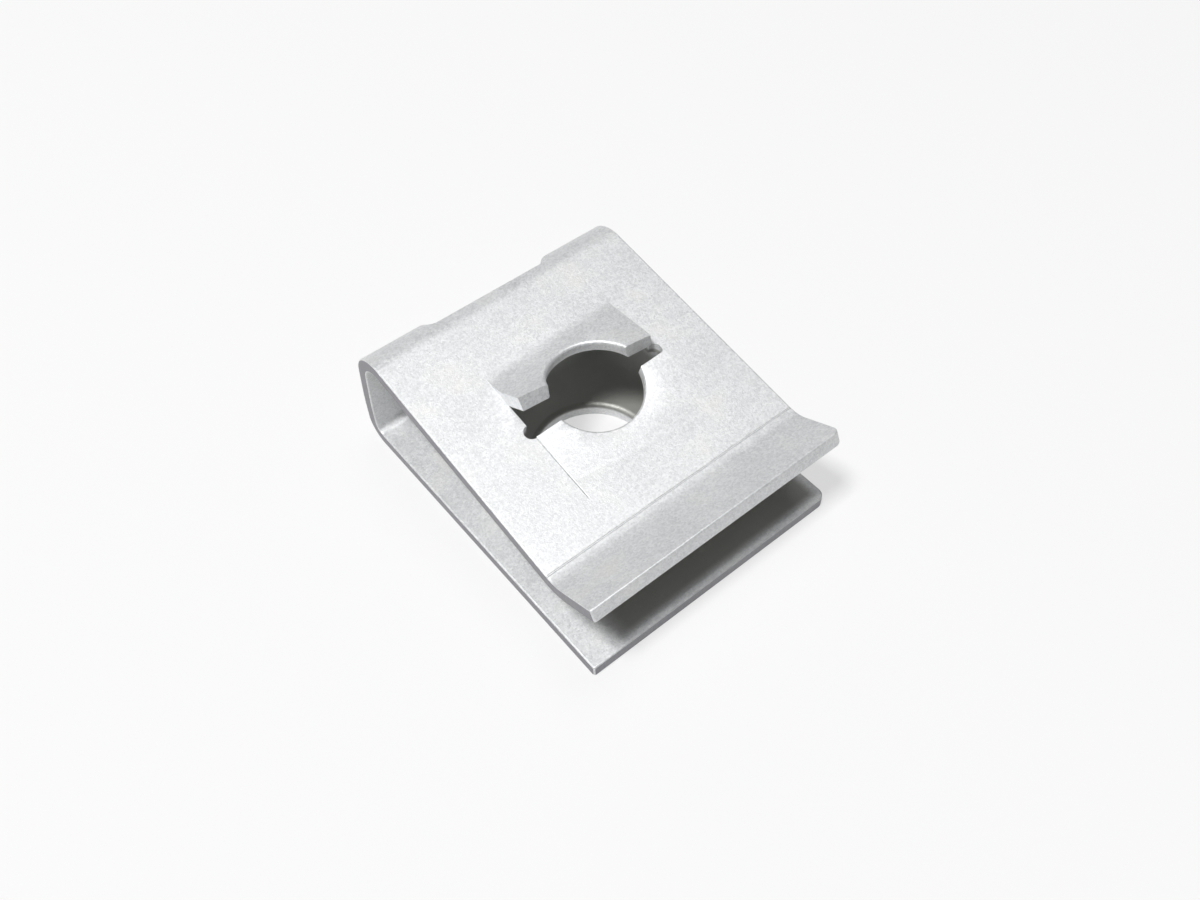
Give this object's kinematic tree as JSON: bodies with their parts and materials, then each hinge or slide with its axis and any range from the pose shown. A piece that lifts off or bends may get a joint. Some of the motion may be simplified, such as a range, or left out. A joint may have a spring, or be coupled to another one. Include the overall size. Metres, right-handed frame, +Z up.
{
  "type": "u-clip speed nut",
  "caption": "U-shaped spring-steel clip that slides over a panel edge; plain hole in the flat leaf, sheared thread prongs in the sloping leaf take a tapping screw.",
  "frame": {"origin": "on the axis of the clearance hole, at the underside of the flat lower leaf", "axes": "+Z up through the lower leaf towards the threaded leaf, +Y towards the fold, -Y towards the open mouth, +X to the right seen from the mouth"},
  "size_m": [0.016, 0.0205, 0.008],
  "materials": {
    "zinc_plated_steel": "satin zinc plating over tumbled spring steel"
  },
  "bodies": {
    "root": {"u_clip": "zinc_plated_steel"}
  },
  "joints": []
}
